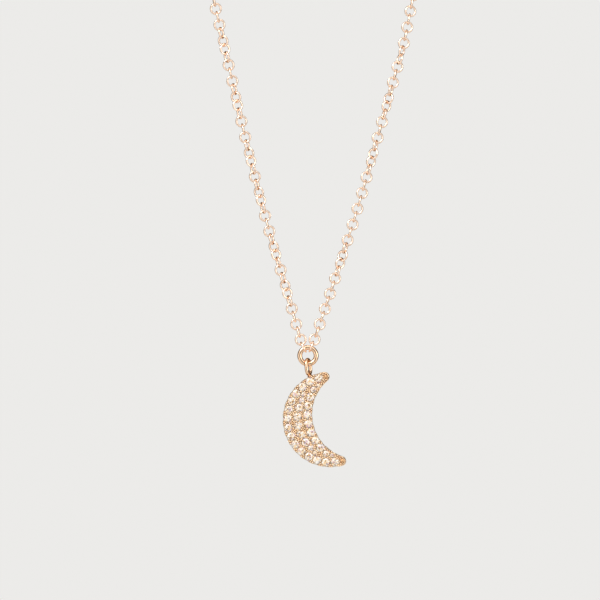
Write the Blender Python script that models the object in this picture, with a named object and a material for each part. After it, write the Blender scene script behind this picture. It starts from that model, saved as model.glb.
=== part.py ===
"""Pendant necklace: a fine cable chain wound into a hank, its two strands meeting at a jump ring, and a crescent
pendant set with round stones hanging from that ring. Lengths are in millimetres until to_object() scales them.
The front faces -Y, +Z is up, and the origin is where the wound chain rests on the bar that holds it."""

import math

import bmesh
import bpy
import numpy as np
from mathutils import Matrix

MM = 0.001
# Chain
CHAIN_R = 0.68          # half the outer width of a link
LINK_MEAN = 0.6         # link centreline radius
LINK_WIRE = 0.125       # link wire radius
# Jump ring that carries the pendant
RING_AT = np.array([0.0, 0.0, -57.39])
RING_MEAN = 0.965
RING_WIRE = 0.285
END_LINK_OUT = 0.18     # an end link's centre, beyond the ring's wire centre
END_LINK_DEG = {"left": 118.0, "right": 70.0}
# Hank: the chain's unseen length, wound into a long loop
HANK_AT = np.array([0.5, 0.0, -4.15])
HANK_HALF = 9.1
HANK_R = 4.8
HANK_DEEP = 4.15
LEAVE_DEG = 12.0        # a strand leaves the hank this far below its end's middle
STRAND_Y = 3.5          # half the distance between the two strands at the hank
PIVOT_DOWN = 5.6        # the strands bend at this distance below the hank
PIVOT_GAP = 0.18
# Where each strand runs, as (x, z) guide points from the ring up to the hank
ROUTE = {
    "left": [(-0.86, -55.5), (-2.71, -49.05), (-5.06, -40.9), (-7.39, -31.65), (-8.88, -25.15), (-11.06, -15.55)],
    "right": [(0.8, -55.4), (3.18, -48.35), (5.8, -40.2), (8.12, -32.05), (10.0, -25.31), (11.3, -20.61),
              (12.33, -15.55)],
}
# Crescent
OUT_AT = np.array([2.65, -64.88])
OUT_R = 5.63
IN_AT = np.array([5.74, -64.27])
IN_R = 5.22
TIP_R = 0.58
PLATE = 0.65            # half the crescent's thickness
STONE_R = 0.5
SMALL_STONES = (0.5, 0.44, 0.38, 0.32, 0.27)
STONE_GAP = 0.06
EDGE_WALL = 0.08
TIP_BARE = 0.5          # no stone is centred this near a tip's centre
ROW_STEP = 1.065
GIRDLE_Y = -0.6
# Bail loop, soldered to the crescent's edge
BAIL_WIRE = 0.21
BAIL_HALF_WIDTH = 0.615
BAIL_TOP = np.array([-0.05, 0.0, -57.85])
BAIL_TURN = 22.0
BAIL_FOOT = 115.5       # where on the outer edge it stands
# Spring ring clasp, lying on the hank
CLASP_AT = np.array([1.3, 0.0, 2.35])
CLASP_MEAN = 2.15
SHELL_R = 0.6
CAVITY_R = 0.43
BOLT_R = 0.35
GAP_FROM, GAP_TO = 12.0, 68.0
LEVER_DEG = 82.0
LEVER_TURN = 58.0

GOLD = (0.83, 0.62, 0.45)
PALE_GOLD = (0.86, 0.68, 0.54)
STONE = (0.93, 0.95, 0.97)


def clear():
    for thing in list(bpy.data.objects):
        bpy.data.objects.remove(thing, do_unlink=True)


def material(name, colour, metallic, roughness):
    made = bpy.data.materials.new(name)
    made.use_nodes = True
    made.diffuse_color = (*colour, 1.0)
    shader = made.node_tree.nodes["Principled BSDF"]
    shader.inputs["Base Color"].default_value = (*colour, 1.0)
    shader.inputs["Metallic"].default_value = metallic
    shader.inputs["Roughness"].default_value = roughness
    return made


def raw_mesh(name, points, faces):
    mesh = bpy.data.meshes.new(name)
    mesh.from_pydata([tuple(map(float, p)) for p in points], [], faces)
    work = bmesh.new()
    work.from_mesh(mesh)
    bmesh.ops.recalc_face_normals(work, faces=work.faces)
    work.to_mesh(mesh)
    work.free()
    return mesh


def to_object(name, mesh, look, corner=32.0):
    """Scales a mesh from millimetres and makes it the node."""
    mesh.transform(Matrix.Scale(MM, 4))
    mesh.polygons.foreach_set("use_smooth", [True] * len(mesh.polygons))
    mesh.set_sharp_from_angle(angle=math.radians(corner))
    mesh.materials.clear()
    mesh.materials.append(look)
    made = bpy.data.objects.new(name, mesh)
    bpy.context.scene.collection.objects.link(made)
    return made


def sweep(points, radius, sides, closed):
    """A round wire along points, with frames carried along so that it doesn't twist."""
    points = [np.asarray(p, float) for p in points]
    count = len(points)
    dirs = []
    for i in range(count):
        a = points[i - 1] if closed or i else points[0]
        b = points[(i + 1) % count] if closed or i < count - 1 else points[-1]
        dirs.append((b - a) / np.linalg.norm(b - a))
    first = points[1] - 2 * points[0] + points[-1 if closed else min(2, count - 1)]
    first = first - dirs[0] * first.dot(dirs[0])
    if np.linalg.norm(first) < 1e-6:
        first = np.cross(dirs[0], (0.3, 1.0, 0.2))
    side = first / np.linalg.norm(first)
    verts, faces = [], []
    for point, along in zip(points, dirs):
        side = side - along * side.dot(along)
        side /= np.linalg.norm(side)
        other = np.cross(along, side)
        for k in range(sides):
            turn = math.tau * (k + 0.5) / sides
            verts.append(point + radius * (math.cos(turn) * side + math.sin(turn) * other))
    for i in range(count if closed else count - 1):
        for k in range(sides):
            a, b = i * sides + k, i * sides + (k + 1) % sides
            c, d = ((i + 1) % count) * sides + (k + 1) % sides, ((i + 1) % count) * sides + k
            faces.append((a, b, c, d))
    if not closed:
        faces.append(tuple(range(sides))[::-1])
        faces.append(tuple((count - 1) * sides + k for k in range(sides)))
    return verts, faces


def circle(centre, u, v, radius, count, start=0.0, end=360.0, closed=True):
    steps = count if closed else count - 1
    turns = [math.radians(start + (end - start) * i / steps) for i in range(count)]
    u, v = np.asarray(u, float), np.asarray(v, float)
    return [centre + radius * (math.cos(t) * u + math.sin(t) * v) for t in turns]


def wire_ring(name, centre, u, v, mean, wire, look, count=28, sides=10):
    points = circle(np.asarray(centre, float), u, v, mean, count)
    return to_object(name, raw_mesh(name, *sweep(points, wire, sides, True)), look, 60.0)


def stadium(half, radius, count):
    """A long loop in two dimensions, anticlockwise from the right end's lowest point."""
    loop = []
    for middle, start in ((half, -90.0), (-half, 90.0)):
        for i in range(count + 1):
            turn = math.radians(start + 180.0 * i / count)
            loop.append((middle + radius * math.cos(turn), radius * math.sin(turn)))
    return loop


def prism(rings, low, high, axis_map):
    """A flat closed shape given by an outer loop and, if there is one, a hole with the same count of points."""
    verts, faces = [], []
    for level in (low, high):
        for ring in rings:
            verts += [axis_map(a, b, level) for a, b in ring]
    count = len(rings[0])
    top = len(verts) // 2
    for r in range(len(rings)):
        for i in range(count):
            j = (i + 1) % count
            a, b = r * count + i, r * count + j
            faces.append((a, b, b + top, a + top))
    if len(rings) == 1:
        faces += [tuple(range(count)), tuple(range(top, top + count))[::-1]]
    else:
        for base in (0, top):
            for i in range(count):
                j = (i + 1) % count
                faces.append((base + i, base + j, base + count + j, base + count + i))
    return verts, faces


def cut(mesh, cutter):
    """mesh less cutter, worked out in millimetres."""
    body = bpy.data.objects.new("body", mesh)
    tool = bpy.data.objects.new("tool", cutter)
    for thing in (body, tool):
        bpy.context.scene.collection.objects.link(thing)
    step = body.modifiers.new("cut", "BOOLEAN")
    step.operation = "DIFFERENCE"
    step.solver = "EXACT"
    step.object = tool
    graph = bpy.context.evaluated_depsgraph_get()
    done = bpy.data.meshes.new_from_object(body.evaluated_get(graph))
    for thing in (body, tool):
        bpy.data.objects.remove(thing, do_unlink=True)
    work = bmesh.new()
    work.from_mesh(done)
    bmesh.ops.remove_doubles(work, verts=work.verts, dist=1e-4)
    bmesh.ops.triangulate(work, faces=[f for f in work.faces if len(f.verts) > 4])
    work.to_mesh(done)
    work.free()
    return done


def joined(shapes):
    """One mesh out of several separate closed shapes."""
    verts, faces = [], []
    for more_verts, more_faces in shapes:
        base = len(verts)
        verts += list(more_verts)
        faces += [tuple(base + i for i in face) for face in more_faces]
    return verts, faces


# ---- chain ----------------------------------------------------------------------------------------------------------


def end_link_at(side):
    turn = math.radians(END_LINK_DEG[side])
    out = np.array([math.cos(turn), 0.0, math.sin(turn)])
    return RING_AT + out * (RING_MEAN + END_LINK_OUT), out


def leave_point(side):
    sign = -1.0 if side == "left" else 1.0
    turn = math.radians(LEAVE_DEG)
    x = HANK_AT[0] + sign * (HANK_HALF + HANK_R * math.cos(turn))
    return np.array([x, sign * STRAND_Y, HANK_AT[2] - HANK_R * math.sin(turn)])


def spline(points, per=14):
    """A smooth curve through points, each stretch cut into short straight pieces."""
    points = [np.asarray(p, float) for p in points]
    ends = [2 * points[0] - points[1]] + points + [2 * points[-1] - points[-2]]
    curve = []
    for a, b, c, d in zip(ends, ends[1:], ends[2:], ends[3:]):
        for i in range(per):
            t = i / per
            curve.append(0.5 * (2 * b + (c - a) * t + (2 * a - 5 * b + 4 * c - d) * t**2
                                + (3 * b - a - 3 * c + d) * t**3))
    curve.append(points[-1])
    return np.array(curve)


def strand(side):
    """The strand's centreline, from its end link's centre up to the hank."""
    start, _ = end_link_at(side)
    finish = leave_point(side)
    points = [start]
    for x, z in ROUTE[side]:
        share = (z - start[2]) / (finish[2] - start[2])
        points.append(np.array([x, finish[1] * share, z]))
    return spline(points + [finish])


def along(curve):
    return np.concatenate([[0.0], np.cumsum(np.linalg.norm(np.diff(curve, axis=0), axis=1))])


def stretch(curve, start, end, step):
    """Evenly spaced points on a curve between two distances along it."""
    far = along(curve)
    count = max(2, int(round((end - start) / step)) + 1)
    wanted = np.linspace(start, end, count)
    return np.stack([np.interp(wanted, far, curve[:, k]) for k in range(3)], axis=1)


def chain(looks):
    ring = [(x + HANK_AT[0], z + HANK_AT[2]) for x, z in stadium(HANK_HALF, HANK_R + CHAIN_R, 20)]
    hole = [(x + HANK_AT[0], z + HANK_AT[2]) for x, z in stadium(HANK_HALF, HANK_R - CHAIN_R, 20)]
    shape = prism([ring, hole], -HANK_DEEP, HANK_DEEP, lambda a, b, level: (a, level, b))
    to_object("chain_hank", raw_mesh("chain_hank", *shape), looks["chain"])
    for side in ("left", "right"):
        curve = strand(side)
        total = along(curve)[-1]
        low = stretch(curve, LINK_MEAN + LINK_WIRE + 0.04, total - PIVOT_DOWN - PIVOT_GAP, 2.0)
        high = stretch(curve, total - PIVOT_DOWN + PIVOT_GAP, total - 3.66, 1.0)
        for name, points in ((f"chain_{side}", low), (f"chain_lead_{side}", high)):
            to_object(name, raw_mesh(name, *sweep(points, CHAIN_R, 12, False)), looks["chain"], 60.0)
        centre, out = end_link_at(side)
        wire_ring(f"end_link_{side}", centre, out, (0.0, 1.0, 0.0), LINK_MEAN, LINK_WIRE, looks["chain"], 24, 8)


# ---- pendant --------------------------------------------------------------------------------------------------------

AXIS = IN_AT - OUT_AT
APART = float(np.linalg.norm(AXIS))
AXIS_DEG = math.degrees(math.atan2(AXIS[1], AXIS[0]))


def polar(centre, radius, degrees):
    turn = math.radians(degrees)
    return centre + radius * np.array([math.cos(turn), math.sin(turn)])


def degrees_of(point, centre):
    return math.degrees(math.atan2(point[1] - centre[1], point[0] - centre[0]))


def tip_centre(sign):
    """The centre of the round tip that meets both edges of the crescent smoothly."""
    a, b = OUT_R - TIP_R, IN_R + TIP_R
    near = (APART**2 + a * a - b * b) / (2 * APART)
    turn = math.degrees(math.acos(near / a))
    return polar(OUT_AT, a, AXIS_DEG + sign * turn)


def arc2(centre, radius, start, end, step):
    count = max(2, int(abs(end - start) * math.radians(1) * radius / step) + 1)
    return [polar(centre, radius, start + (end - start) * i / count) for i in range(count)]


def crescent_outline():
    top, low = tip_centre(1), tip_centre(-1)
    out_top, out_low = degrees_of(top, OUT_AT), degrees_of(low, OUT_AT) % 360
    in_top, in_low = degrees_of(top, IN_AT) % 360, degrees_of(low, IN_AT) % 360
    loop = arc2(OUT_AT, OUT_R, out_top, out_low, 0.45)
    loop += arc2(low, TIP_R, out_low, in_low + 180, 0.16)
    loop += arc2(IN_AT, IN_R, in_low, in_top, 0.45)
    loop += arc2(top, TIP_R, in_top - 180, out_top, 0.16)
    return loop


def room_at(point):
    """How far a point inside the crescent is from its nearest edge."""
    room = min(OUT_R - np.linalg.norm(point - OUT_AT), np.linalg.norm(point - IN_AT) - IN_R)
    for sign in (1, -1):
        tip = tip_centre(sign)
        past = sign * (degrees_of(point, OUT_AT) - degrees_of(tip, OUT_AT))
        if -90 < past < 0:
            room = min(room, TIP_R - np.linalg.norm(point - tip))
    return room


def stones():
    """(x, z, radius) of each stone: a row along each edge, then whatever fits between them."""
    placed = []

    def place(point, radius):
        clear_of = all(np.linalg.norm(point - at) >= radius + r + STONE_GAP for at, r in placed)
        bare = min(np.linalg.norm(point - tip_centre(sign)) for sign in (1, -1)) < TIP_BARE
        if clear_of and not bare and room_at(point) >= radius + EDGE_WALL:
            placed.append((point, radius))
            return True
        return False

    fat = AXIS_DEG + 180
    for centre, radius in ((OUT_AT, OUT_R - 0.59), (IN_AT, IN_R + 0.59)):
        pitch = math.degrees(ROW_STEP / radius)
        for k in range(30):
            for sign in (1, -1) if k else (1,):
                place(polar(centre, radius, fat + sign * pitch * k), STONE_R)
    for radius in SMALL_STONES:
        for k in range(0, 1100):
            for sign in (1, -1):
                angle = fat + sign * 0.1 * k
                edge = polar(OUT_AT, OUT_R, angle)
                inward = (OUT_AT - edge) / OUT_R
                span = 2 * room_at(edge + inward * 0.5)
                for share in (0.5, 0.44, 0.56, 0.38, 0.62, 0.32, 0.68, 0.26, 0.74, 0.2, 0.8):
                    thick = thickness(angle)
                    if span > -9 and thick > 0:
                        place(edge + inward * thick * share, radius)
    return placed


def thickness(angle):
    """The crescent's width along a line from the outer circle's centre."""
    way = polar(np.zeros(2), 1.0, angle)
    offset = OUT_AT - IN_AT
    half = offset.dot(way)
    inside = half * half - offset.dot(offset) + IN_R**2
    return 0.0 if inside < 0 else OUT_R - (-half + math.sqrt(inside))


def lathe(x, z, profile, sides):
    """A closed solid turned about a line along Y, from (radius, y) pairs; it is capped at both ends."""
    verts, faces = [], []
    for radius, y in profile:
        for k in range(sides):
            turn = math.tau * k / sides
            verts.append((x + radius * math.cos(turn), y, z + radius * math.sin(turn)))
    for i in range(len(profile) - 1):
        for k in range(sides):
            j = (k + 1) % sides
            faces.append((i * sides + k, i * sides + j, (i + 1) * sides + j, (i + 1) * sides + k))
    last = (len(profile) - 1) * sides
    faces += [tuple(range(sides)), tuple(last + k for k in range(sides))]
    return verts, faces


def seat(x, z, radius):
    wide, hole = radius + 0.015, radius * 0.52
    shoulder = GIRDLE_Y + 0.03
    throat = shoulder + (wide - hole) * 0.86
    return lathe(x, z, [(wide, -PLATE - 0.2), (wide, shoulder), (hole, throat), (hole, PLATE + 0.2)], 14)


def stone(name, x, z, radius, look):
    """A round cut stone as the hull of its table, girdle and culet."""
    work = bmesh.new()
    for count, r, y in ((8, 0.56, -0.3), (16, 1.0, -0.03), (16, 1.0, 0.03)):
        for k in range(count):
            turn = math.tau * (k + (0.5 if count == 8 else 0.0)) / count
            work.verts.new((x + radius * r * math.cos(turn), GIRDLE_Y + radius * y, z + radius * r * math.sin(turn)))
    work.verts.new((x, GIRDLE_Y + radius * 0.86, z))
    hull = bmesh.ops.convex_hull(work, input=work.verts)
    bmesh.ops.delete(work, geom=list(set(hull["geom_interior"])), context="VERTS")
    bmesh.ops.recalc_face_normals(work, faces=work.faces)
    mesh = bpy.data.meshes.new(name)
    work.to_mesh(mesh)
    work.free()
    to_object(name, mesh, look, 1.0)


def pendant(looks):
    outline = crescent_outline()
    plate = prism([[tuple(p) for p in outline]], -PLATE, PLATE, lambda a, b, level: (a, level, b))
    placed = stones()
    seats = joined([seat(at[0], at[1], radius) for at, radius in placed])
    to_object("moon_frame", cut(raw_mesh("plate", *plate), raw_mesh("seats", *seats)), looks["gold"])
    for number, (at, radius) in enumerate(placed, 1):
        stone(f"stone_{number:02d}", at[0], at[1], radius, looks["stone"])
    foot = math.radians(BAIL_FOOT)
    low = OUT_AT + (OUT_R + BAIL_WIRE + 0.03) * np.array([math.cos(foot), math.sin(foot)])
    low = np.array([low[0], 0.0, low[1]])
    up = (BAIL_TOP - low) / np.linalg.norm(BAIL_TOP - low)
    turn = math.radians(BAIL_TURN)
    across = np.array([math.sin(turn), math.cos(turn), 0.0])
    across -= up * across.dot(up)
    across /= np.linalg.norm(across)
    half = np.linalg.norm(BAIL_TOP - low) / 2 - BAIL_HALF_WIDTH
    middle = (BAIL_TOP + low) / 2
    path = [middle + a * up + b * across for a, b in stadium(half, BAIL_HALF_WIDTH, 12)]
    to_object("bail_loop", raw_mesh("bail_loop", *sweep(path, BAIL_WIRE, 12, True)), looks["gold"], 60.0)
    wire_ring("jump_ring", RING_AT, (1, 0, 0), (0, 0, 1), RING_MEAN, RING_WIRE, looks["gold"], 32, 14)


# ---- clasp ----------------------------------------------------------------------------------------------------------

X, Y, Z = np.eye(3)


def clasp_arc(start, end, radius, tube, sides, step=6.0):
    count = max(3, int(abs(end - start) / step) + 1)
    points = circle(CLASP_AT, X, Y, radius, count, start, end, False)
    return sweep(points, tube, sides, False)


def lever_block(start, end, inner, outer, half_height):
    """A block bent about the clasp's centre."""
    count = max(2, int(abs(end - start) / 8.0) + 1)
    loop = [CLASP_AT[:2] + outer * np.array([math.cos(math.radians(d)), math.sin(math.radians(d))])
            for d in np.linspace(start, end, count)]
    loop += [CLASP_AT[:2] + inner * np.array([math.cos(math.radians(d)), math.sin(math.radians(d))])
             for d in np.linspace(end, start, count)]
    low, high = CLASP_AT[2] - half_height, CLASP_AT[2] + half_height
    return prism([[tuple(p) for p in loop]], low, high, lambda a, b, level: (a, b, level))


def clasp(looks):
    tool = looks["gold"]
    body = raw_mesh("shell", *clasp_arc(GAP_TO, GAP_FROM + 360, CLASP_MEAN, SHELL_R, 16))
    body = cut(body, raw_mesh("cavity", *clasp_arc(GAP_TO - 8, 174, CLASP_MEAN, CAVITY_R, 12)))
    body = cut(body, raw_mesh("socket", *clasp_arc(4, GAP_FROM + 8, CLASP_MEAN, CAVITY_R, 12)))
    slot = lever_block(LEVER_DEG - 8, LEVER_DEG + LEVER_TURN + 8, CLASP_MEAN, CLASP_MEAN + 1.0, 0.2)
    to_object("clasp_shell", cut(body, raw_mesh("slot", *slot)), tool)
    to_object("clasp_bolt", raw_mesh("bolt", *clasp_arc(7, 86, CLASP_MEAN, BOLT_R, 12)), tool, 60.0)
    lever = lever_block(LEVER_DEG - 4.5, LEVER_DEG + 4.5, CLASP_MEAN + BOLT_R + 0.02, CLASP_MEAN + 1.15, 0.15)
    to_object("clasp_lever", raw_mesh("lever", *lever), tool)
    coil = []
    turns, steps = 8, 10
    for i in range(turns * steps + 1):
        at = math.radians(88 + (171 - 88) * i / (turns * steps))
        spin = math.tau * i / steps
        out = np.array([math.cos(at), math.sin(at), 0.0])
        coil.append(CLASP_AT + out * (CLASP_MEAN + 0.31 * math.cos(spin)) + 0.31 * math.sin(spin) * Z)
    to_object("clasp_spring", raw_mesh("coil", *sweep(coil, 0.05, 5, False)), looks["steel"], 80.0)
    loop_at = CLASP_AT - X * (CLASP_MEAN + SHELL_R + 0.68)
    wire_ring("clasp_loop", loop_at, X, Y, 0.5, 0.16, tool, 20, 8)
    wire_ring("clasp_jump_ring", loop_at - X * 0.75, X, Z, 0.75, 0.17, tool, 24, 8)
    end_at = CLASP_AT + X * (CLASP_MEAN + 0.06) + Z * 0.12
    wire_ring("end_ring", end_at, X, Z, 0.95, 0.18, tool, 28, 8)


def build():
    clear()
    looks = {
        "chain": material("chain_gold", PALE_GOLD, 1.0, 0.22),
        "gold": material("gold", GOLD, 1.0, 0.2),
        "steel": material("spring_steel", (0.6, 0.6, 0.6), 1.0, 0.3),
        "stone": material("clear_stone", STONE, 0.0, 0.02),
    }
    chain(looks)
    pendant(looks)
    clasp(looks)


build()
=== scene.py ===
import math

import bmesh
import bpy
import numpy as np
from mathutils import Matrix, Vector


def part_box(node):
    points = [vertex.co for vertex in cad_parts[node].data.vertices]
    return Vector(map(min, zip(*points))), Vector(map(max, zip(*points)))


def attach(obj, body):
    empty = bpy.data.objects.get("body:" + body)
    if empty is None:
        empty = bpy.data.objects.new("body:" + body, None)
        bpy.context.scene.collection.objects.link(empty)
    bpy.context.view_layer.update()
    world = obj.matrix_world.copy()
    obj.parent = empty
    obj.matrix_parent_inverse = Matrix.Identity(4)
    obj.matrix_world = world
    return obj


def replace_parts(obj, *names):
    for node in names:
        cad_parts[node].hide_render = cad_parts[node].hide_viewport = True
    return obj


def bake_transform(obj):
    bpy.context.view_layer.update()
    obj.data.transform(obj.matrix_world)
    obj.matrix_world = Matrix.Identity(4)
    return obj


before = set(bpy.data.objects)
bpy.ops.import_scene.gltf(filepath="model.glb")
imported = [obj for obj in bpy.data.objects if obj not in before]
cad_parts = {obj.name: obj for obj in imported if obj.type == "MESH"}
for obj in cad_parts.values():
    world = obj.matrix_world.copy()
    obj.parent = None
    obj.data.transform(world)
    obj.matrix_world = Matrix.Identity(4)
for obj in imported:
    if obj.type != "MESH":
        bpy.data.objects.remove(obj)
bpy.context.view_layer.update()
MM = 0.001

# Places and sizes as in the solids, in millimetres and degrees. MEAN is the radius of a ring's
# middle line, and WIRE the radius of its wire.
SIDES = ("left", "right")
# NARROW is a link's width over its length, along its middle line.
LINK_MEAN, LINK_WIRE, LINK_NARROW = 0.6, 0.125, 0.96
# Each strand's pitch low down, the link above which it is drawn tighter, and the pitch from there.
LINK_PITCH = {"left": (0.949, 26, 0.963), "right": (0.949, 13, 0.972)}
RING_AT = np.array([0.0, 0.0, -57.39])
RING_MEAN, RING_WIRE = 0.965, 0.285
# How far an end link's centre is outside the jump ring's middle line, and its angle there.
END_LINK_OUT = 0.18
END_LINK_DEG = {"left": 118.0, "right": 70.0}
# The hank: its centre, half its straight run and the radius of its ends; then where each strand
# leaves it, how far down the strand's curve hinges, and the whole turns with the step between them.
HANK_AT = np.array([0.5, 0.0, -4.15])
HANK_HALF, HANK_R = 9.1, 4.8
LEAVE_DEG, STRAND_Y, PIVOT_DOWN = 12.0, 3.5, 5.6
TURNS, TURN_STEP = 2, 1.4
# Where each strand passes, as (x, z), from the jump ring upward.
ROUTE = {
    "left": [
        (-0.86, -55.5),
        (-2.71, -49.05),
        (-5.06, -40.9),
        (-7.39, -31.65),
        (-8.88, -25.15),
        (-11.06, -15.55),
    ],
    "right": [
        (0.8, -55.4),
        (3.18, -48.35),
        (5.8, -40.2),
        (8.12, -32.05),
        (10.0, -25.31),
        (11.3, -20.61),
        (12.33, -15.55),
    ],
}
# Links that face the front squarely, counted up from the end link; those between turn evenly.
FACING = {
    "left": [1, 3, 5, 10, 15, 17, 22, 27, 29, 34, 36, 41, 43],
    "right": [1, 3, 5, 7, 9, 14, 16, 18, 20, 22, 27, 29, 34, 36, 39, 41],
}
# The crescent: the circles of its outer and inner edge, as (x, z) and radius.
OUT_AT, OUT_R = np.array([2.65, -64.88]), 5.63
IN_AT, IN_R = np.array([5.74, -64.27]), 5.22
TIP_R, SCALLOP_DEEP = 0.58, 0.13
# Half the crescent's thickness, and the depth of the stones' girdles.
PLATE, GIRDLE_Y = 0.65, -0.6
# The bail: its wire, half its width, how far it is turned, its foot's angle and gap, and its top.
BAIL_WIRE, BAIL_HALF_WIDTH, BAIL_TURN, BAIL_FOOT, BAIL_GAP = 0.21, 0.615, 22.0, 115.5, 0.03
BAIL_TOP = np.array([-0.05, 0.0, -57.85])
# The spring ring, and the rings on both sides of it.
CLASP_AT, CLASP_MEAN = np.array([1.3, 0.0, 2.35]), 2.15
SHELL_R, CAVITY_R, BOLT_R = 0.6, 0.43, 0.35
GAP_FROM, GAP_TO, LEVER_DEG, LEVER_TURN = 12, 68, 82, 58
JUMP_AT, JUMP_MEAN, JUMP_WIRE = np.array([-2.88, 0.0, 2.35]), 0.75, 0.17
END_AT, END_MEAN, END_WIRE = np.array([3.51, 0.0, 2.47]), 0.95, 0.18
# The ring that each half of the chain ends on, and the angle at which its last link sits there.
LAST_RING = {
    "left": (JUMP_AT, JUMP_MEAN, JUMP_WIRE, 200),
    "right": (END_AT, END_MEAN, END_WIRE, -30),
}


# ---- camera --------------------------------------------------------------------------------------

# How wide the view is at the object, how far off the camera stands, and what it looks at.
VIEW_MM, VIEW_FAR, SENSOR = 70.6, 500.0, 36.0
VIEW_X, VIEW_Z = -0.94, -50.84
camera = bpy.data.objects.new("camera", bpy.data.cameras.new("camera"))
bpy.context.scene.collection.objects.link(camera)
camera.data.sensor_width = SENSOR
camera.data.lens = SENSOR * VIEW_FAR / VIEW_MM
camera.data.clip_start, camera.data.clip_end = 0.01, 20.0
camera.location = (VIEW_X * MM, -VIEW_FAR * MM, VIEW_Z * MM)
camera.rotation_euler = (math.radians(90), 0.0, 0.0)
bpy.context.scene.camera = camera


# ---- shapes --------------------------------------------------------------------------------------


def new_object(name, verts, faces, unit):
    """An object from points and faces, with every face turned outward."""
    mesh = bpy.data.meshes.new(name)
    mesh.from_pydata([tuple(float(c) * unit for c in v) for v in verts], [], faces)
    work = bmesh.new()
    work.from_mesh(mesh)
    bmesh.ops.recalc_face_normals(work, faces=work.faces)
    work.to_mesh(mesh)
    work.free()
    made = bpy.data.objects.new(name, mesh)
    bpy.context.scene.collection.objects.link(made)
    return made


def add_piece(name, verts, faces, body, look, slot, corner=45.0):
    """A mesh piece from points in millimetres, shaded smooth up to the corner angle."""
    made = new_object(name, verts, faces, MM)
    made.data.polygons.foreach_set("use_smooth", [True] * len(made.data.polygons))
    made.data.set_sharp_from_angle(angle=math.radians(corner))
    made.data.materials.append(look)
    if body:
        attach(made, body)
    return made


def skin(rows, sides, closed=False, capped=False):
    """Faces between rows of points, each row holding as many points as there are sides."""
    faces = []
    for i in range(rows if closed else rows - 1):
        j = (i + 1) % rows
        for k in range(sides):
            m = (k + 1) % sides
            faces.append((i * sides + k, i * sides + m, j * sides + m, j * sides + k))
    if capped:
        last = (rows - 1) * sides
        faces += [tuple(range(sides)), tuple(last + k for k in range(sides))]
    return faces


def joined(shapes):
    """Several shapes as one."""
    verts, faces = [], []
    for more_verts, more_faces in shapes:
        base = len(verts)
        verts += list(more_verts)
        faces += [tuple(base + i for i in face) for face in more_faces]
    return verts, faces


def round_loop(centre, u, v, mean, count):
    """Points round a circle, from u towards v."""
    turns = [math.tau * i / count for i in range(count)]
    return [centre + mean * (math.cos(t) * u + math.sin(t) * v) for t in turns]


def closed_wire(points, radius, sides):
    """A wire round a flat loop; its radius may be a function of the share of the way round."""
    points = [np.asarray(p, float) for p in points]
    count = len(points)
    middle = sum(points) / count
    normal = np.cross(points[0] - middle, points[count // 4] - middle)
    normal /= np.linalg.norm(normal)
    verts = []
    for i, point in enumerate(points):
        along_it = points[(i + 1) % count] - points[i - 1]
        along_it /= np.linalg.norm(along_it)
        size = radius(i / count) if callable(radius) else radius
        verts += round_loop(point, np.cross(along_it, normal), normal, size, sides)
    return verts, skin(count, sides, closed=True)


def seam(radius, at, swell, width):
    """A wire's radius with a small soldered joint, filed a little thin on both sides of it."""
    def size(share):
        off = (share - at + 0.5) % 1.0 - 0.5
        joint, filed = math.exp(-(off / width) ** 2), math.exp(-(off / (width * 3)) ** 2)
        return radius * (1 + swell * joint - 0.05 * filed)
    return size


def stadium(half, radius, count):
    """A flat loop of two half circles, joined by two straight runs."""
    loop = []
    for middle, start in ((half, -90.0), (-half, 90.0)):
        for i in range(count + 1):
            turn = math.radians(start + 180.0 * i / count)
            loop.append((middle + radius * math.cos(turn), radius * math.sin(turn)))
    return loop


# ---- chain ---------------------------------------------------------------------------------------

SPLINE_STEPS = 14
# Where the winding's points start, how far apart they are, and the length of its rise.
WIND_FROM, WIND_STEP, RAMP = 0.4, 0.35, 2.6
# The turn between two links that face the front, by how many links they are apart.
TURN_BETWEEN = {2: 180.0, 3: 360.0, 5: 540.0}
LOOK_AHEAD, SEAM_STEP = 0.4, 0.37
# More links than a strand can hold, and the greatest uneven turn of a link.
MOST_HUNG = 60
HUNG_WOBBLE, WOUND_WOBBLE = 5.0, 11.0


def spline(points):
    """A smooth curve through the points."""
    points = [np.asarray(p, float) for p in points]
    ends = [2 * points[0] - points[1]] + points + [2 * points[-1] - points[-2]]
    curve = []
    for a, b, c, d in zip(ends, ends[1:], ends[2:], ends[3:]):
        for i in range(SPLINE_STEPS):
            t = i / SPLINE_STEPS
            square, cube = 2 * a - 5 * b + 4 * c - d, 3 * b - a - 3 * c + d
            curve.append(0.5 * (2 * b + (c - a) * t + square * t**2 + cube * t**3))
    curve.append(points[-1])
    return np.array(curve)


def far_along(curve):
    """How far along the curve each of its points is."""
    return np.concatenate([[0.0], np.cumsum(np.linalg.norm(np.diff(curve, axis=0), axis=1))])


def place_on(curve, far, distance):
    """The place at a distance along the curve."""
    return np.array([np.interp(distance, far, curve[:, k]) for k in range(3)])


def end_link_at(side):
    """The centre of a strand's end link, and its direction from the jump ring's centre."""
    turn = math.radians(END_LINK_DEG[side])
    out = np.array([math.cos(turn), 0.0, math.sin(turn)])
    return RING_AT + out * (RING_MEAN + END_LINK_OUT), out


def strand(side):
    """A strand's curve, from its end link up to the hank."""
    start, _ = end_link_at(side)
    sign = -1.0 if side == "left" else 1.0
    turn = math.radians(LEAVE_DEG)
    out = sign * (HANK_HALF + HANK_R * math.cos(turn))
    down = HANK_R * math.sin(turn)
    finish = np.array([HANK_AT[0] + out, sign * STRAND_Y, HANK_AT[2] - down])
    points = [start]
    for x, z in ROUTE[side]:
        y = finish[1] * (z - start[2]) / (finish[2] - start[2])
        points.append(np.array([x, y, z]))
    return spline(points + [finish])


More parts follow.
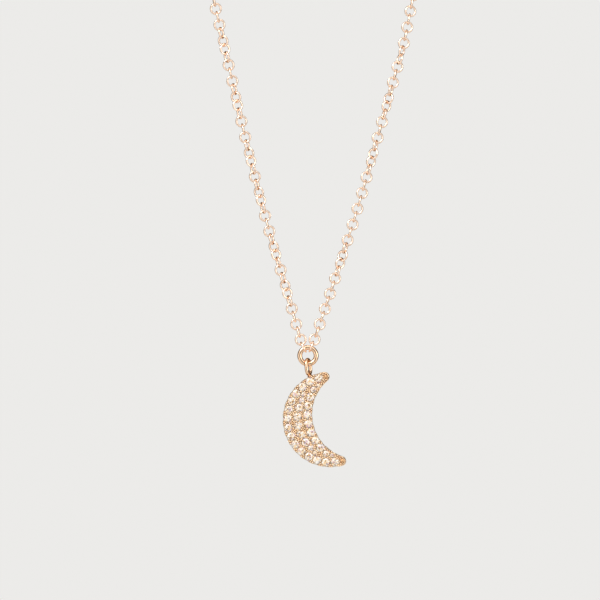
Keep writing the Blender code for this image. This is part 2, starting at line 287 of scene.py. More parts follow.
def on_hank(t):
    """(x, z) at a distance round the hank, from the outer end of its top run inward."""
    if t < 2 * HANK_HALF:
        return -HANK_HALF + t, HANK_R
    if t < 2 * HANK_HALF + math.pi * HANK_R:
        a = (t - 2 * HANK_HALF) / HANK_R
        return HANK_HALF + HANK_R * math.sin(a), HANK_R * math.cos(a)
    if t < 4 * HANK_HALF + math.pi * HANK_R:
        return HANK_HALF - (t - 2 * HANK_HALF - math.pi * HANK_R), -HANK_R
    a = (t - 4 * HANK_HALF - math.pi * HANK_R) / HANK_R
    return -HANK_HALF - HANK_R * math.sin(a), -HANK_R * math.cos(a)


def winding(side):
    """From where the strand meets the hank, up over its end and round, then up to the clasp."""
    sign = -1.0 if side == "left" else 1.0
    around = 4 * HANK_HALF + math.tau * HANK_R
    first = math.radians(90 + LEAVE_DEG) * HANK_R
    centre, mean, wire, deg = LAST_RING[side]
    turn = math.radians(deg)
    out = mean + LINK_MEAN - LINK_WIRE - wire
    last = centre + out * np.array([math.cos(turn), 0.0, math.sin(turn)])
    ramp_from = abs(last[0] - HANK_AT[0]) + RAMP
    total = first + TURNS * around + HANK_HALF - ramp_from
    points = []
    for s in np.arange(WIND_FROM, total, WIND_STEP):
        x, z = on_hank((s - first) % around)
        y = -STRAND_Y + TURN_STEP * s / around
        points.append(np.array([HANK_AT[0] - sign * x, -sign * y, HANK_AT[2] + z]))
    start = points[-1]
    for share in (0.2, 0.4, 0.6, 0.8, 1.0):
        ease = share * share * (3 - 2 * share)
        point = start + (last - start) * share
        point[2] = start[2] + (last[2] - start[2]) * ease
        points.append(point)
    return np.array(points)


def link(centre, along_it, face, seam_at):
    """One round link: it lies in the plane of the chain's direction and the line across it."""
    across = np.cross(along_it, face)
    across /= np.linalg.norm(across)
    loop = round_loop(centre, along_it, across * LINK_NARROW, LINK_MEAN, 26)
    return closed_wire(loop, seam(LINK_WIRE, seam_at, 0.16, 0.022), 9)


def turn_of(side, number):
    """The angle, in degrees, by which a link is turned about the chain; 0 faces the front."""
    marks = [(-1, -180.0)]
    for at in FACING[side]:
        gap = at - marks[-1][0]
        marks.append((at, marks[-1][1] + TURN_BETWEEN.get(gap, 90.0 * gap)))
    if number <= marks[-1][0]:
        return float(np.interp(number, [m[0] for m in marks], [m[1] for m in marks]))
    past = number - marks[-1][0]
    return marks[-1][1] + 90.0 * past + 45.0 * min(1.0, past / 30)


def wobble(number, side, size):
    """A small fixed unevenness, different for each link."""
    phase = 4.1 if side == "left" else 1.7
    return size * math.sin(number * 12.9898 + phase) * math.cos(number * 3.233)


def link_spots(side, far, split):
    """How far along the chain the middle of each link is."""
    pitch, knee, drawn = LINK_PITCH[side]
    spots = [pitch * i + (drawn - pitch) * max(0, i - knee) for i in range(1, MOST_HUNG)]
    spots = [s for s in spots if s < split]
    hung = spots[-1]
    rest = int(round((far[-1] - hung) / pitch))
    return spots + [hung + (far[-1] - hung) * i / rest for i in range(1, rest + 1)]


def chain_links(side, curve, far, split):
    """The links that hang, and those that are wound up."""
    hung, wound = [], []
    for number, s in enumerate(link_spots(side, far, split), 1):
        group, size = (hung, HUNG_WOBBLE) if s < split else (wound, WOUND_WOBBLE)
        ahead = place_on(curve, far, s + LOOK_AHEAD) - place_on(curve, far, s - LOOK_AHEAD)
        ahead /= np.linalg.norm(ahead)
        flat = np.array([0.0, -1.0, 0.0]) - ahead * -ahead[1]
        flat /= np.linalg.norm(flat)
        turn = math.radians(turn_of(side, number) + wobble(number, side, size))
        face = math.cos(turn) * flat + math.sin(turn) * np.cross(ahead, flat)
        group.append(link(place_on(curve, far, s), ahead, face, (number * SEAM_STEP) % 1.0))
    return hung, wound


def chain(looks):
    """Both halves of the chain, and the link that each hanging strand ends in."""
    metal = looks["chain"]
    for side in SIDES:
        low = strand(side)
        split = far_along(low)[-1] - PIVOT_DOWN
        curve = np.concatenate([low, winding(side)])
        far = far_along(curve)
        hung, wound = chain_links(side, curve, far, split)
        strand_piece = add_piece(f"links_{side}", *joined(hung), "chain_drop", metal, "chain_gold")
        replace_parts(strand_piece, f"chain_{side}")
        wound_piece = add_piece(f"wound_{side}", *joined(wound), "hank", metal, "chain_gold")
        nodes = [f"chain_lead_{side}"] + (["chain_hank"] if side == "left" else [])
        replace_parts(wound_piece, *nodes)
        centre, out = end_link_at(side)
        loop = round_loop(centre, out, np.array([0.0, LINK_NARROW, 0.0]), LINK_MEAN, 36)
        wire = closed_wire(loop, seam(LINK_WIRE, 0.1, 0.16, 0.02), 12)
        end = add_piece(f"end_link_{side}_wire", *wire, "chain_drop", metal, "chain_gold")
        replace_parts(end, f"end_link_{side}")


# ---- pendant -------------------------------------------------------------------------------------

AXIS = IN_AT - OUT_AT
APART = float(np.linalg.norm(AXIS))
AXIS_DEG = math.degrees(math.atan2(AXIS[1], AXIS[0]))
# How far the cutters stand past the front, and the stone's depth over its radius.
PAST, PAVILION = 0.2, 0.86
# A seat's play round its stone, the hole over the stone's radius, and the flare at the back.
SEAT_PLAY, HOLE_SHARE, HOLE_FLARE = 0.02, 0.5, 0.12
# A scoop's radius over the stone's, and the rim between the two.
SCOOP_SHARE, SCOOP_CLEAR = 0.8, 0.09
# The crescent's side from the back to the front: how far in from the outline, and the depth.
SIDE_PROFILE = [
    (0.19, PLATE),
    (0.12, PLATE - 0.03),
    (0.09, PLATE - 0.1),
    (0.09, GIRDLE_Y + 0.46),
    (0.0, GIRDLE_Y + 0.34),
    (0.0, -PLATE + 0.1),
    (0.02, -PLATE + 0.04),
    (0.06, -PLATE),
    (0.1, -PLATE),
    (0.15, -PLATE + 0.06),
]
NICK_R = 0.085
# How near an edge the stones of its row are, and the widest gap that a post stands in.
ROW_REACH, POST_GAP = 0.2, 0.5
GRAIN_R, GRAIN_DEEP, GRAIN_IN, GRAIN_OFF = 0.1, 0.13, 0.13, 0.15
TIP_BEAD_R, TIP_BEAD_DEEP, TIP_BEAD_OUT = 0.27, 0.26, 0.16
# The grains between the stones: how far apart, and how far clear of a stone.
GRAIN_PASSES = ((0.2, 0.07), (0.18, 0.055))
# The spots tried for them: insets from the outer edge, steps round it, and the margins kept.
GRAIN_INSETS, GRAIN_STEPS, GRAIN_STEP_DEG = (0.12, 3.5, 0.06), 480, 0.25
EDGE_MARGIN, TIP_MARGIN = 0.1, 0.12
TIP_GRAIN_OUT, TIP_GRAIN_DEG = 0.42, 58
SOLDER_SIZE = (0.3, 0.46, 0.13)
# A brilliant's rings of corners: count, radius and depth over the stone's radius, and offset.
CUT_RINGS = (
    (8, 0.55, -0.33, 0.5),
    (8, 0.79, -0.185, 0.0),
    (16, 1.0, -0.03, 0.0),
    (16, 1.0, 0.03, 0.0),
    (8, 0.36, 0.565, 0.5),
)


def polar(centre, radius, degrees):
    """The (x, z) point at an angle and distance from a centre."""
    turn = math.radians(degrees)
    return centre + radius * np.array([math.cos(turn), math.sin(turn)])


def degrees_of(point, centre):
    """The angle of a point seen from a centre."""
    return math.degrees(math.atan2(point[1] - centre[1], point[0] - centre[0]))


def tip_centre(sign):
    """The centre of the round end at the upper (1) or lower (-1) tip."""
    a, b = OUT_R - TIP_R, IN_R + TIP_R
    near = (APART**2 + a * a - b * b) / (2 * APART)
    return polar(OUT_AT, a, AXIS_DEG + sign * math.degrees(math.acos(near / a)))


def tip_and_lean(sign):
    """A tip's centre, and the angle at which the crescent points there."""
    tip = tip_centre(sign)
    return tip, degrees_of(tip, OUT_AT) - sign * 90


def arc(centre, radius, start, end, count):
    """Points along an arc, without its last one."""
    return [polar(centre, radius, start + (end - start) * i / count) for i in range(count)]


def outline(inset):
    """The crescent's edge, moved inward by inset, always with the same number of points."""
    top, low = tip_centre(1), tip_centre(-1)
    out_top, out_low = degrees_of(top, OUT_AT), degrees_of(low, OUT_AT) % 360
    in_top, in_low = degrees_of(top, IN_AT) % 360, degrees_of(low, IN_AT) % 360
    loop = arc(OUT_AT, OUT_R - inset, out_top, out_low, 120)
    loop += arc(low, TIP_R - inset, out_low, in_low + 180, 14)
    loop += arc(IN_AT, IN_R + inset, in_low, in_top, 96)
    return loop + arc(top, TIP_R - inset, in_top - 180, out_top, 14)


def stone_places():
    """(centre, radius) of each stone, read from the solids, in millimetres."""
    places = []
    for name in sorted(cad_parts):
        if name.startswith("stone_"):
            low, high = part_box(name)
            radius = (high.x - low.x) / 2 / MM
            places.append((np.array([(low.x + high.x) / 2, (low.z + high.z) / 2]) / MM, radius))
    return places


def lathe(x, z, profile, sides):
    """A solid turned about a line from front to back, from (radius, y) pairs."""
    verts = []
    for radius, y in profile:
        for k in range(sides):
            turn = math.tau * k / sides
            verts.append((x + radius * math.cos(turn), y, z + radius * math.sin(turn)))
    return verts, skin(len(profile), sides, capped=True)


def room_at(point):
    """How far a point is inside the crescent's two edges."""
    return min(OUT_R - np.linalg.norm(point - OUT_AT), np.linalg.norm(point - IN_AT) - IN_R)


def rows(places):
    """Each edge's centre, radius, side and the angles of the stones in the row beside it."""
    found = []
    for centre, edge, outward in ((OUT_AT, OUT_R, 1), (IN_AT, IN_R, -1)):
        row = [(degrees_of(at, centre) % 360, at, r) for at, r in places
               if abs(abs(np.linalg.norm(at - centre) - edge) - r) < ROW_REACH]
        found.append((centre, edge, outward, sorted(row, key=lambda item: item[0])))
    return found


def edge_posts(places):
    """The posts that the edges keep between neighbouring stones: (nicks, grains) on them."""
    nicks, grains = [], []
    for centre, edge, outward, row in rows(places):
        for (a, _, ra), (b, _, rb) in zip(row, row[1:]):
            if math.radians(b - a) * edge > ra + rb + POST_GAP:
                continue
            middle = (a * rb + b * ra) / (ra + rb)
            nicks.append(polar(centre, edge, middle))
            step = math.degrees(GRAIN_OFF / edge)
            for sign in (1, -1):
                grains.append(polar(centre, edge - outward * GRAIN_IN, middle + sign * step))
    return nicks, grains


def beyond_tip(point):
    """Whether a point is outside a tip's round end, or nearly so."""
    for sign in (1, -1):
        tip = tip_centre(sign)
        past = sign * (degrees_of(point, OUT_AT) - degrees_of(tip, OUT_AT))
        if -90 < past < 0 and np.linalg.norm(point - tip) > TIP_R - TIP_MARGIN:
            return True
    return False


def bead_places(places):
    """Grains of metal: on the posts, at the tips, then wherever the stones leave room."""
    found = list(edge_posts(places)[1])
    for sign in (1, -1):
        tip, lean = tip_and_lean(sign)
        found += [polar(tip, TIP_BEAD_OUT, lean), polar(tip, TIP_GRAIN_OUT, lean - TIP_GRAIN_DEG),
                  polar(tip, TIP_GRAIN_OUT, lean + TIP_GRAIN_DEG)]
    fat = AXIS_DEG + 180
    spots = [polar(OUT_AT, OUT_R - inset, fat + sign * k * GRAIN_STEP_DEG)
             for inset in np.arange(*GRAIN_INSETS) for k in range(GRAIN_STEPS) for sign in (1, -1)]
    spots = [p for p in spots if room_at(p) >= EDGE_MARGIN and not beyond_tip(p)]
    for spacing, reach in GRAIN_PASSES:
        for point in spots:
            if any(np.linalg.norm(point - c) < r + reach for c, r in places):
                continue
            if all(np.linalg.norm(point - other) > spacing for other in found):
                found.append(point)
    return found


def cut(verts, faces, tools):
    """A solid less the tools, worked out in millimetres."""
    body, tool = new_object("cut_body", verts, faces, 1.0), new_object("cut_tool", *tools, 1.0)
    step = body.modifiers.new("cut", "BOOLEAN")
    step.operation, step.solver, step.object = "DIFFERENCE", "EXACT", tool
    graph = bpy.context.evaluated_depsgraph_get()
    done = bpy.data.meshes.new_from_object(body.evaluated_get(graph))
    points = [tuple(v.co) for v in done.vertices]
    sides = [tuple(f.vertices) for f in done.polygons]
    for thing in (body, tool):
        bpy.data.objects.remove(thing, do_unlink=True)
    bpy.data.meshes.remove(done)
    return points, sides


def seat(at, radius):
    """The cutter for one stone: a tapered seat, a hole behind it and a flare at the back."""
    wide, hole = radius + SEAT_PLAY, radius * HOLE_SHARE
    throat = GIRDLE_Y + 0.03 + (wide - hole) * PAVILION
    profile = [
        (wide + 0.02, -PLATE - PAST),
        (wide, GIRDLE_Y + 0.02),
        (hole, throat),
        (hole, PLATE - HOLE_FLARE),
        (hole + HOLE_FLARE, PLATE + 0.02),
        (hole + HOLE_FLARE, PLATE + 0.1),
    ]
    return lathe(at[0], at[1], profile, 24)


def crescent(looks, places):
    """The casting: its seats, the scoops beside the rows of stones and the nicks in the posts."""
    verts = []
    for inset, y in SIDE_PROFILE:
        verts += [(x, y, z) for x, z in outline(inset)]
    levels = len(SIDE_PROFILE)
    faces = skin(levels, len(verts) // levels, capped=True)
    body = cut(verts, faces, joined([seat(at, radius) for at, radius in places]))
    scoops = []
    for _, _, outward, row in rows(places):
        for angle, at, r in row:
            wide = r * SCOOP_SHARE
            spot = polar(at, (r + SCOOP_CLEAR + SCALLOP_DEEP - wide) * outward, angle)
            profile = [(wide, GIRDLE_Y + 0.4), (wide, -PLATE - PAST)]
            scoops.append(lathe(spot[0], spot[1], profile, 20))
    # Scoops that are side by side overlap, so every other one is cut in a second pass.
    for scoop in (scoops[::2], scoops[1::2]):
        body = cut(*body, joined(scoop))
    nick = [(0.02, -PLATE + 0.5), (NICK_R, -PLATE + 0.28), (NICK_R, -PLATE - PAST)]
    nicks = [lathe(p[0], p[1], nick, 10) for p in edge_posts(places)[0]]
    body = cut(*body, joined(nicks))
    piece = add_piece("crescent_frame", *body, "pendant", looks["moon"], "gold", 35.0)
    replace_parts(piece, "moon_frame")


def ball(x, y, z, radius, deep, bands=7, sides=12):
    """A ball, or a flattened one, that reaches deep to the front and the back."""
    turns = [math.pi * i / bands for i in range(1, bands)]
    profile = [(radius * math.sin(t), y - deep * math.cos(t)) for t in turns]
    return lathe(x, z, profile, sides)


def beads(looks, places):
    """The grains that hold the stones, and a large bead at each tip."""
    grains = [ball(p[0], -PLATE + 0.01, p[1], GRAIN_R, GRAIN_DEEP) for p in bead_places(places)]
    large = [polar(tip, TIP_BEAD_OUT, lean) for tip, lean in map(tip_and_lean, (1, -1))]
    large = [ball(p[0], -PLATE + 0.04, p[1], TIP_BEAD_R, TIP_BEAD_DEEP, 10, 24) for p in large]
    # The large tip beads take a darker copy of the gold, a painted dark reflection.
    add_piece("tip_beads", *joined(large), "pendant", looks["tip"], "gold", 70.0)
    add_piece("set_beads", *joined(grains), "pendant", looks["moon"], "gold", 70.0)


def taken_from(work):
    """The points and faces of a bmesh, which is freed."""
    work.verts.index_update()
    verts = [tuple(v.co) for v in work.verts]
    faces = [tuple(v.index for v in f.verts) for f in work.faces]
    work.free()
    return verts, faces


def brilliant(x, z, radius, spin):
    """A round brilliant: table, star, kite and girdle facets above, pavilion facets below."""
    work = bmesh.new()
    for count, r, y, offset in CUT_RINGS:
        for k in range(count):
            turn = math.tau * (k + offset) / count + spin
            work.verts.new((x + radius * r * math.cos(turn), GIRDLE_Y + radius * y,
                            z + radius * r * math.sin(turn)))
    work.verts.new((x, GIRDLE_Y + radius * PAVILION, z))
    hull = bmesh.ops.convex_hull(work, input=work.verts)
    bmesh.ops.delete(work, geom=list(set(hull["geom_interior"])), context="VERTS")
    bmesh.ops.dissolve_limit(work, angle_limit=math.radians(0.6), verts=work.verts,
                             edges=work.edges)
    table = min(work.faces, key=lambda face: face.calc_center_median().y)
    bmesh.ops.poke(work, faces=[table])
    return taken_from(work)


def stones(looks, places):
    """The cut stones, with a fixed number from 0 to 1 on each facet that picks its painted glint
    colour.
    """
    shape = joined([brilliant(at[0], at[1], r, 0.9 * i) for i, (at, r) in enumerate(places)])
    piece = add_piece("cut_stones", *shape, "pendant", looks["stone"], "clear_stone", 1.0)
    painted_glint = piece.data.attributes.new("painted_glint", "FLOAT", "FACE")
    facets = range(len(piece.data.polygons))
    picks = [(math.sin(i * 78.233 + 1.7) * 43758.5453) % 1.0 for i in facets]
    painted_glint.data.foreach_set("value", picks)
    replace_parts(piece, *[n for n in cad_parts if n.startswith("stone_")])


def fittings(looks):
    """The jump ring, the bail and the solder at the bail's foot."""
    metal = looks["gold"]
    x, _, z = np.eye(3)
    loop = round_loop(RING_AT, x, z, RING_MEAN, 96)
    wire = closed_wire(loop, seam(RING_WIRE, 0.24, 0.03, 0.006), 28)
    ring = add_piece("jump_ring_wire", *wire, "ring", metal, "gold")
    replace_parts(ring, "jump_ring")
    foot = math.radians(BAIL_FOOT)
    low = OUT_AT + (OUT_R + BAIL_WIRE + BAIL_GAP) * np.array([math.cos(foot), math.sin(foot)])
    low = np.array([low[0], 0.0, low[1]])
    up = (BAIL_TOP - low) / np.linalg.norm(BAIL_TOP - low)
    turn = math.radians(BAIL_TURN)
    across = np.array([math.sin(turn), math.cos(turn), 0.0])
    across -= up * across.dot(up)
    across /= np.linalg.norm(across)
    half = np.linalg.norm(BAIL_TOP - low) / 2 - BAIL_HALF_WIDTH
    middle = (BAIL_TOP + low) / 2
    path = [middle + a * up + b * across for a, b in stadium(half, BAIL_HALF_WIDTH, 28)]
    bail = add_piece("bail_wire", *closed_wire(path, BAIL_WIRE, 24), "pendant", metal, "gold")
    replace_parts(bail, "bail_loop")
    verts, faces = ball(0, 0, 0, 1.0, 1.0, 12, 24)
    tilt = Matrix.Rotation(foot - math.radians(90), 3, "Y").inverted()
    centre = low - BAIL_WIRE * np.array([math.cos(foot), 0.0, math.sin(foot)])
    flat = [Vector(c * size for c, size in zip(v, SOLDER_SIZE)) for v in verts]
    blob = [np.array(tilt @ v) + centre for v in flat]
    add_piece("bail_solder", blob, faces, "pendant", metal, "gold", 80.0)


# ---- materials -----------------------------------------------------------------------------------


def new_material(name, colour, metallic, roughness):
    """A material, its node tree and its shader."""
    made = bpy.data.materials.new(name)
    made.use_nodes = True
    tree = made.node_tree
    shader = tree.nodes["Principled BSDF"]
    shader.inputs["Base Color"].default_value = (*colour, 1.0)
    shader.inputs["Metallic"].default_value = metallic
    shader.inputs["Roughness"].default_value = roughness
    return made, tree, shader


def add_node(tree, kind, **values):
    """A node; a value that isn't an input of its own is one of its settings."""
    made = tree.nodes.new(kind)
    for key, value in values.items():
        if key in made.inputs:
            made.inputs[key].default_value = value
        else:
            setattr(made, key, value)
    return made


def add_ramp(tree, stops):
    """A colour ramp from (position, colour) pairs."""
    made = add_node(tree, "ShaderNodeValToRGB")
    elements = made.color_ramp.elements
    while len(elements) < len(stops):
        elements.new(0.5)
    for element, (position, colour) in zip(elements, stops):
        element.position, element.color = position, (*colour, 1.0)
    return made


def map_range(tree, source, from_range, to_range):
    """The output of a node that maps one range of values to another."""
    made = add_node(tree, "ShaderNodeMapRange")
    for name, value in zip(("From Min", "From Max", "To Min", "To Max"), (*from_range, *to_range)):
        made.inputs[name].default_value = value
    tree.links.new(source, made.inputs["Value"])
    return made.outputs["Result"]


# The metals' wear, scratches and the reach of the painted shade in their crevices, in metres;
# scales are per metre.
WEAR_SCALE, SCRATCH_SCALE, SCRATCH_DEEP = 3200.0, 5200.0, 0.00002
PAINTED_SHADE_REACH = 0.00016
# The stones' facet colours, picked at random per facet: painted glints, painted reflections of the
# gold bed and painted dark reflections.
STONE_PAINTED_GLINTS = [
    (0.0, (1.0, 0.93, 0.83)),
    (0.26, (1.0, 0.8, 0.54)),
    (0.46, (0.42, 0.24, 0.11)),
    (0.64, (1.0, 0.98, 0.94)),
    (0.76, (0.76, 0.54, 0.68)),
    (0.85, (0.42, 0.4, 0.44)),
    (0.92, (1.0, 0.7, 0.4)),
]


def gold(name, colour, dark, roughness, bump, patch=900.0, painted_crevice_shade=None, edge=(0.95, 0.7, 0.48)):
    """Polished metal: patches of tone, wear in the polish, scratches and maybe painted shade in its
    crevices.
    """
    made, tree, shader = new_material(name, colour, 1.0, roughness)
    shader.inputs["Specular Tint"].default_value = (*edge, 1.0)
    link_up = tree.links.new
    place = add_node(tree, "ShaderNodeTexCoord")
    tone = add_node(tree, "ShaderNodeTexNoise", Scale=patch, Detail=3.0, Roughness=0.6)
    link_up(place.outputs["Object"], tone.inputs["Vector"])
    ramp = add_ramp(tree, [(0.32, dark), (0.68, colour)])
    link_up(tone.outputs["Fac"], ramp.inputs["Fac"])
    link_up(ramp.outputs["Color"], shader.inputs["Base Color"])
    # Painted shade: an occlusion node darkens the colour in crevices, between the grains and round
    # the stones.
    if painted_crevice_shade:
        closed = add_node(tree, "ShaderNodeAmbientOcclusion", samples=6, Distance=PAINTED_SHADE_REACH)
        depth = add_ramp(tree, [(0.2, painted_crevice_shade), (0.62, (1, 1, 1))])
        shade = add_node(tree, "ShaderNodeVectorMath", operation="MULTIPLY")
        link_up(closed.outputs["AO"], depth.inputs["Fac"])
        link_up(ramp.outputs["Color"], shade.inputs[0])
        link_up(depth.outputs["Color"], shade.inputs[1])
        link_up(shade.outputs["Vector"], shader.inputs["Base Color"])
    wear = add_node(tree, "ShaderNodeTexNoise", Scale=WEAR_SCALE, Detail=5.0, Roughness=0.65)
    link_up(place.outputs["Object"], wear.inputs["Vector"])
    worn = map_range(tree, wear.outputs["Fac"], (0.0, 1.0), (roughness * 0.8, roughness * 1.35))
    link_up(worn, shader.inputs["Roughness"])
    stretch = add_node(tree, "ShaderNodeMapping")
    stretch.inputs["Scale"].default_value = (1.0, 0.2, 3.0)
    stretch.inputs["Rotation"].default_value = (0.3, 0.5, 0.7)
    link_up(place.outputs["Object"], stretch.inputs["Vector"])
    scratch = add_node(tree, "ShaderNodeTexNoise", Scale=SCRATCH_SCALE, Detail=4.0, Roughness=0.7)
    link_up(stretch.outputs["Vector"], scratch.inputs["Vector"])
    relief = add_node(tree, "ShaderNodeBump", Strength=bump, Distance=SCRATCH_DEEP)
    link_up(scratch.outputs["Fac"], relief.inputs["Height"])
    link_up(relief.outputs["Normal"], shader.inputs["Normal"])
    return made


def clear_stone():
    """Cut stone in a gold bed: clear, each facet coloured with a painted glint, a painted
    reflection of the gold bed or a painted dark reflection.
    """
    made, tree, shader = new_material("cut_clear_stone", (1.0, 0.93, 0.84), 0.0, 0.0)
    shader.inputs["IOR"].default_value = 1.9
    shader.inputs["Transmission Weight"].default_value = 0.25
    facet = add_node(tree, "ShaderNodeAttribute", attribute_name="painted_glint")
    ramp = add_ramp(tree, STONE_PAINTED_GLINTS)
    ramp.color_ramp.interpolation = "CONSTANT"
    tree.links.new(facet.outputs["Fac"], ramp.inputs["Fac"])
    tree.links.new(ramp.outputs["Color"], shader.inputs["Base Color"])
    return made


# ---- clasp ---------------------------------------------------------------------------------------

# The spring behind the bolt: the angles it spans round the clasp, its turns, radii and steps.
COIL_FROM, COIL_TO, COIL_TURNS, COIL_R, COIL_WIRE, COIL_STEPS = 88, 171, 8, 0.31, 0.05, 160
# The bolt's span, the far ends of the bores in the shell, and how far bores and slot overshoot.
BOLT_FROM, BOLT_TO, BORE_TO, CATCH_FROM, OVERSHOOT = 7, 86, 174, 4, 8
SHELL_LIP, BOLT_LIP, TAB_EASE = 0.05, 0.07, 0.05
# The slot for the lever, and the lever: half its span, its reach, and half the width of each.
SLOT_REACH, SLOT_HALF = 1.0, 0.2
TAB_SPAN, TAB_REACH, TAB_HALF, TAB_GAP = 4.5, 1.15, 0.15, 0.02
# The loop and its neck on the shell, how far out each stands and its radii.
LOOP_OUT, LOOP_MEAN, LOOP_WIRE = 0.68, 0.5, 0.16
NECK_OUT, NECK_R, NECK_DEEP = 0.02, 0.2, 0.26


def clasp_spring(looks):
    """The coil behind the bolt, built in one fixed shape; on the clasp it closes up as the lever is
    drawn back.
    """
    sides = 8
    near, far = math.radians(COIL_FROM), math.radians(COIL_TO)
    upward = np.array([0.0, 0.0, 1.0])
    middles, points = [], []
    for i in range(COIL_STEPS + 1):
        at = near + (far - near) * i / COIL_STEPS
        spin = math.tau * COIL_TURNS * i / COIL_STEPS
        out = np.array([math.cos(at), math.sin(at), 0.0])
        middles.append(CLASP_AT + out * CLASP_MEAN)
        points.append(middles[-1] + COIL_R * (math.cos(spin) * out + math.sin(spin) * upward))
    verts = []
    for i, point in enumerate(points):
        ahead = points[min(i + 1, COIL_STEPS)] - points[max(i - 1, 0)]
        out = (point - middles[i]) / np.linalg.norm(point - middles[i])
        across = np.cross(ahead / np.linalg.norm(ahead), out)
        verts += round_loop(point, out, across, COIL_WIRE, sides)
    faces = skin(len(points), sides, capped=True)
    piece = add_piece("spring_coil", verts, faces, None, looks["steel"], "spring_steel", 70.0)
    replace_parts(piece, "clasp_spring")
    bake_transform(piece)


def arc_tube(start, end, tube, sides, lip=0.0):
    """A solid rod bent about the clasp's centre, its ends thinner by the lip."""
    count = int(abs(end - start) / 2.0) + 1
    verts = []
    for i in range(count + 1):
        at = math.radians(start + (end - start) * i / count)
        out = np.array([math.cos(at), math.sin(at), 0.0])
        size = tube - (lip if i in (0, count) else 0.0)
        for k in range(sides):
            turn = math.tau * k / sides
            verts.append(CLASP_AT + out * (CLASP_MEAN + size * math.cos(turn))
                         + np.array([0.0, 0.0, size * math.sin(turn)]))
    return verts, skin(count + 1, sides, capped=True)


def bent_block(start, end, inner, outer, half):
    """A block bent about the clasp's centre."""
    count = int(abs(end - start) / 3.0) + 1
    verts = []
    for i in range(count + 1):
        at = math.radians(start + (end - start) * i / count)
        for reach, z in ((inner, -half), (outer, -half), (outer, half), (inner, half)):
            verts.append(CLASP_AT + np.array([reach * math.cos(at), reach * math.sin(at), z]))
    return verts, skin(count + 1, 4, capped=True)


def eased(verts, faces, width):
    """A solid with its corners rounded off."""
    work = bmesh.new()
    made = [work.verts.new(tuple(v)) for v in verts]
    for face in faces:
        work.faces.new([made[i] for i in face])
    bmesh.ops.recalc_face_normals(work, faces=work.faces)
    sharp = [e for e in work.edges if e.calc_face_angle(0.0) > 0.6]
    bmesh.ops.bevel(work, geom=sharp, offset=width, segments=3, profile=0.5, affect="EDGES")
    return taken_from(work)


def clasp(looks):
    """The spring ring: shell, bolt and thumb tab, its loop, and the rings on both sides of it."""
    metal = looks["gold"]
    body = arc_tube(GAP_TO, GAP_FROM + 360, SHELL_R, 40, SHELL_LIP)
    body = cut(*body, arc_tube(GAP_TO - OVERSHOOT, BORE_TO, CAVITY_R, 32))
    body = cut(*body, arc_tube(CATCH_FROM, GAP_FROM + OVERSHOOT, CAVITY_R, 32))
    slot = bent_block(LEVER_DEG - OVERSHOOT, LEVER_DEG + LEVER_TURN + OVERSHOOT, CLASP_MEAN,
                      CLASP_MEAN + SLOT_REACH, SLOT_HALF)
    shell = add_piece("clasp_body", *cut(*body, slot), "hank", metal, "gold", 40.0)
    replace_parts(shell, "clasp_shell")
    bolt = arc_tube(BOLT_FROM, BOLT_TO, BOLT_R, 28, BOLT_LIP)
    rod = add_piece("clasp_rod", *bolt, "clasp_trigger", metal, "gold", 50.0)
    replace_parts(rod, "clasp_bolt")
    tab = bent_block(LEVER_DEG - TAB_SPAN, LEVER_DEG + TAB_SPAN, CLASP_MEAN + BOLT_R + TAB_GAP,
                     CLASP_MEAN + TAB_REACH, TAB_HALF)
    tab = eased(*tab, TAB_EASE)
    thumb = add_piece("clasp_thumb_tab", *tab, "clasp_trigger", metal, "gold", 50.0)
    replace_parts(thumb, "clasp_lever")
    x, y, z = np.eye(3)
    loop_at = CLASP_AT - x * (CLASP_MEAN + SHELL_R + LOOP_OUT)
    loop = closed_wire(round_loop(loop_at, x, y, LOOP_MEAN, 48), LOOP_WIRE, 20)
    neck_at = CLASP_AT - x * (CLASP_MEAN + SHELL_R + NECK_OUT)
    neck = ball(neck_at[0], neck_at[1], neck_at[2], NECK_R, NECK_DEEP, 12, 24)
    fixed = add_piece("clasp_loop_wire", *joined([loop, neck]), "hank", metal, "gold", 60.0)
    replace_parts(fixed, "clasp_loop")
    path = round_loop(JUMP_AT, x, z, JUMP_MEAN, 64)
    wire = closed_wire(path, seam(JUMP_WIRE, 0.3, 0.05, 0.008), 20)
    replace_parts(add_piece("clasp_jump_wire", *wire, "hank", metal, "gold"), "clasp_jump_ring")
    path = round_loop(END_AT, x, z, END_MEAN, 72)
    wire = closed_wire(path, seam(END_WIRE, 0.12, 0.05, 0.008), 20)
    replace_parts(add_piece("end_ring_wire", *wire, "hank", metal, "gold"), "end_ring")


# ---- studio --------------------------------------------------------------------------------------

WALL_SEEN, FLOOR_COLOUR, LAMP_COLOUR = (0.838, 0.831, 0.814), (0.8, 0.795, 0.78), (1.0, 0.98, 0.95)
# How bright the room is from behind the camera (0) to behind the object (1).
ROOM_STOPS = [
    (0.0, 0.3),
    (0.035, 0.35),
    (0.085, 1.65),
    (0.3, 1.65),
    (0.38, 0.3),
    (0.46, 0.12),
    (0.88, 0.12),
    (1.0, 0.9),
]
# The rest of the studio is in metres. Each lamp: its name, its place and its power.
LAMPS = (
    ("key", (-0.35, -0.45, 0.35), 1.8),
    ("fill", (0.5, -0.35, 0.0), 0.5),
    ("top", (0.05, 0.1, 0.5), 0.6),
)
LAMP_SIZE, LAMP_AIM = 0.3, (0, 0, -0.05)
FLOOR_REACH, FLOOR_LEVEL, FLOOR_SIDES = 0.2, -0.125, 64


def lamp(name, place, power):
    """A square lamp that is turned to the object."""
    made = bpy.data.objects.new(name, bpy.data.lights.new(name, "AREA"))
    made.data.shape, made.data.size, made.data.energy = "SQUARE", LAMP_SIZE, power
    made.data.color = LAMP_COLOUR
    made.location = place
    made.rotation_euler = (Vector(LAMP_AIM) - Vector(place)).to_track_quat("-Z", "Y").to_euler()
    bpy.context.scene.collection.objects.link(made)


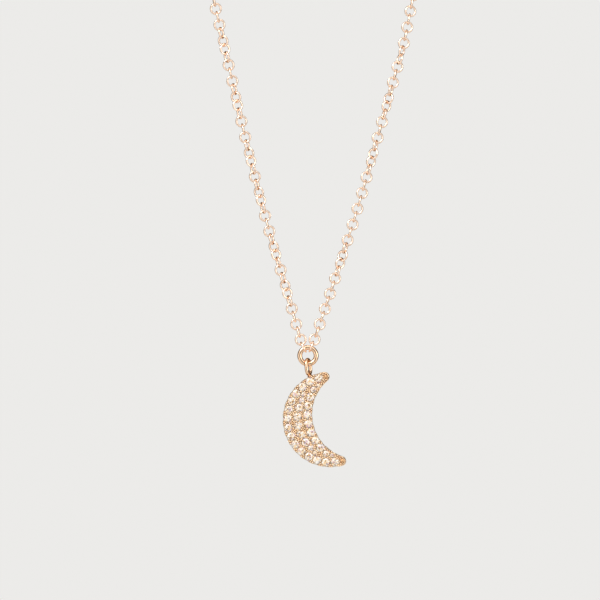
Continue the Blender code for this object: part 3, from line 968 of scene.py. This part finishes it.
def room():
    """A pale wall to the camera; to the metal, a room of bright and dark patches."""
    world = bpy.data.worlds.new("studio")
    bpy.context.scene.world = world
    world.use_nodes = True
    tree = world.node_tree
    link_up = tree.links.new
    place = add_node(tree, "ShaderNodeTexCoord")
    parts = add_node(tree, "ShaderNodeSeparateXYZ")
    link_up(place.outputs["Generated"], parts.inputs["Vector"])
    ramp = add_ramp(tree, [(at, (v, v * 0.985, v * 0.965)) for at, v in ROOM_STOPS])
    link_up(map_range(tree, parts.outputs["Y"], (-1.0, 1.0), (0.0, 1.0)), ramp.inputs["Fac"])
    patches = add_node(tree, "ShaderNodeTexNoise", Scale=3.2, Detail=1.0)
    link_up(place.outputs["Generated"], patches.inputs["Vector"])
    dim = add_node(tree, "ShaderNodeVectorMath", operation="SCALE")
    link_up(ramp.outputs["Color"], dim.inputs[0])
    link_up(map_range(tree, patches.outputs["Fac"], (0.4, 0.6), (0.82, 1.1)), dim.inputs["Scale"])
    both = add_node(tree, "ShaderNodeVectorMath", operation="ADD")
    link_up(dim.outputs["Vector"], both.inputs[0])
    link_up(map_range(tree, parts.outputs["Z"], (0.6, 0.95), (0.0, 0.3)), both.inputs[1])
    lit = tree.nodes["Background"]
    link_up(both.outputs["Vector"], lit.inputs["Color"])
    plain = add_node(tree, "ShaderNodeBackground")
    plain.inputs["Color"].default_value = (*WALL_SEEN, 1.0)
    seen = add_node(tree, "ShaderNodeLightPath")
    mix = add_node(tree, "ShaderNodeMixShader")
    link_up(seen.outputs["Is Camera Ray"], mix.inputs["Fac"])
    link_up(lit.outputs["Background"], mix.inputs[1])
    link_up(plain.outputs["Background"], mix.inputs[2])
    link_up(mix.outputs["Shader"], tree.nodes["World Output"].inputs["Surface"])


def studio():
    """The room, the lamps and a plain floor well below the crescent."""
    bpy.context.scene.view_settings.view_transform = "Standard"
    room()
    for name, place, power in LAMPS:
        lamp(name, place, power)
    turns = [math.tau * i / FLOOR_SIDES for i in range(FLOOR_SIDES)]
    rim = [(FLOOR_REACH * math.cos(t), FLOOR_REACH * math.sin(t), FLOOR_LEVEL) for t in turns]
    mesh = bpy.data.meshes.new("floor")
    mesh.from_pydata(rim, [], [tuple(range(FLOOR_SIDES))])
    floor = bpy.data.objects.new("floor", mesh)
    bpy.context.scene.collection.objects.link(floor)
    mesh.materials.append(new_material("pale_floor", FLOOR_COLOUR, 0.0, 0.7)[0])


def main():
    """Every material, every piece and the studio."""
    edge = (0.8, 0.45, 0.22)
    # The colour of the painted shade that darkens the set gold's crevices.
    painted_crevice_shade = (0.55, 0.33, 0.16)
    looks = {
        "chain": gold("polished_chain", (1.0, 0.8, 0.66), (0.97, 0.74, 0.58), 0.16, 0.06),
        "gold": gold("polished_ring", (0.87, 0.62, 0.42), (0.84, 0.58, 0.39), 0.1, 0.04, edge=edge),
        "moon": gold("set_gold", (1.0, 0.85, 0.63), (1.0, 0.72, 0.46), 0.27, 0.15, 2600.0, painted_crevice_shade),
        # A darker copy of the gold for the tip beads: painted dark reflection of the surroundings.
        "tip": gold("tip_gold_painted_dark", (0.72, 0.45, 0.24), (0.5, 0.28, 0.13), 0.2, 0.1, 1500.0),
        "steel": gold("spring_wire", (0.62, 0.62, 0.63), (0.5, 0.5, 0.51), 0.25, 0.1),
        "stone": clear_stone(),
    }
    places = stone_places()
    chain(looks)
    crescent(looks, places)
    beads(looks, places)
    stones(looks, places)
    fittings(looks)
    clasp_spring(looks)
    clasp(looks)
    studio()


main()
